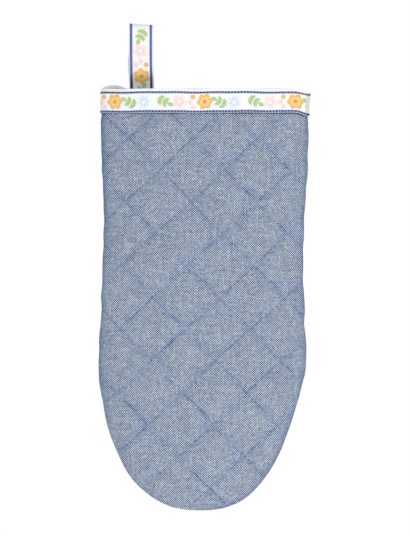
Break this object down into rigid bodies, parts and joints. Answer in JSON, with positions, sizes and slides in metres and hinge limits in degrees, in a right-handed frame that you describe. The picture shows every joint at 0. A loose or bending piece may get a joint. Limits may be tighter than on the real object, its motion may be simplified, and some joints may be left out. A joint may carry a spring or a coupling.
{
  "type": "oven mitt",
  "caption": "Quilted fabric oven mitt with a rounded hand end, a thumb folded flat on the palm, a woven ribbon round the cuff and a ribbon hanging loop.",
  "frame": {"origin": "middle of the hand opening, level with the cuff edge", "axes": "+Z out of the cuff towards the hanging loop; -Y the back of the hand; +Y the palm and thumb; +X to the right when looking at the back of the hand with the cuff up"},
  "size_m": [0.1549, 0.0476, 0.356],
  "materials": {
    "chambray": "blue and white plain weave cotton, matt",
    "wadding": "soft polyester fleece, matt",
    "lining": "plain off-white cotton, matt",
    "ribbon": "woven white ribbon with navy edge lines and a small floral pattern, slight sheen",
    "thread": "navy sewing thread, slight sheen"
  },
  "bodies": {
    "mitt": {"back_cover": "chambray", "back_wadding": "wadding", "back_lining": "lining", "palm_wrist_cover": "chambray", "palm_wrist_wadding": "wadding", "palm_wrist_lining": "lining", "palm_finger_cover": "chambray", "palm_finger_wadding": "wadding", "palm_finger_lining": "lining", "cuff_ribbon": "ribbon", "upper_topstitching": "thread", "lower_topstitching": "thread", "loop_tails": "ribbon"},
    "thumb": {"thumb_outer_cover": "chambray", "thumb_outer_wadding": "wadding", "thumb_outer_lining": "lining", "thumb_inner_cover": "chambray", "thumb_inner_wadding": "wadding", "thumb_inner_lining": "lining"},
    "loop": {"hanging_loop": "ribbon"}
  },
  "joints": [
    {"name": "thumb_fold", "type": "hinge", "parent": "mitt", "child": "thumb", "pos_m": [0, 0.0134, -0.115], "axis": [1, 0, 0], "range_deg": [0, 60]},
    {"name": "loop_bend", "type": "hinge", "parent": "mitt", "child": "loop", "pos_m": [-0.046, 0.00667, 0.0024], "axis": [1, 0, 0], "range_deg": [-75, 75], "stiffness_Nm_per_rad": 0.002}
  ]
}
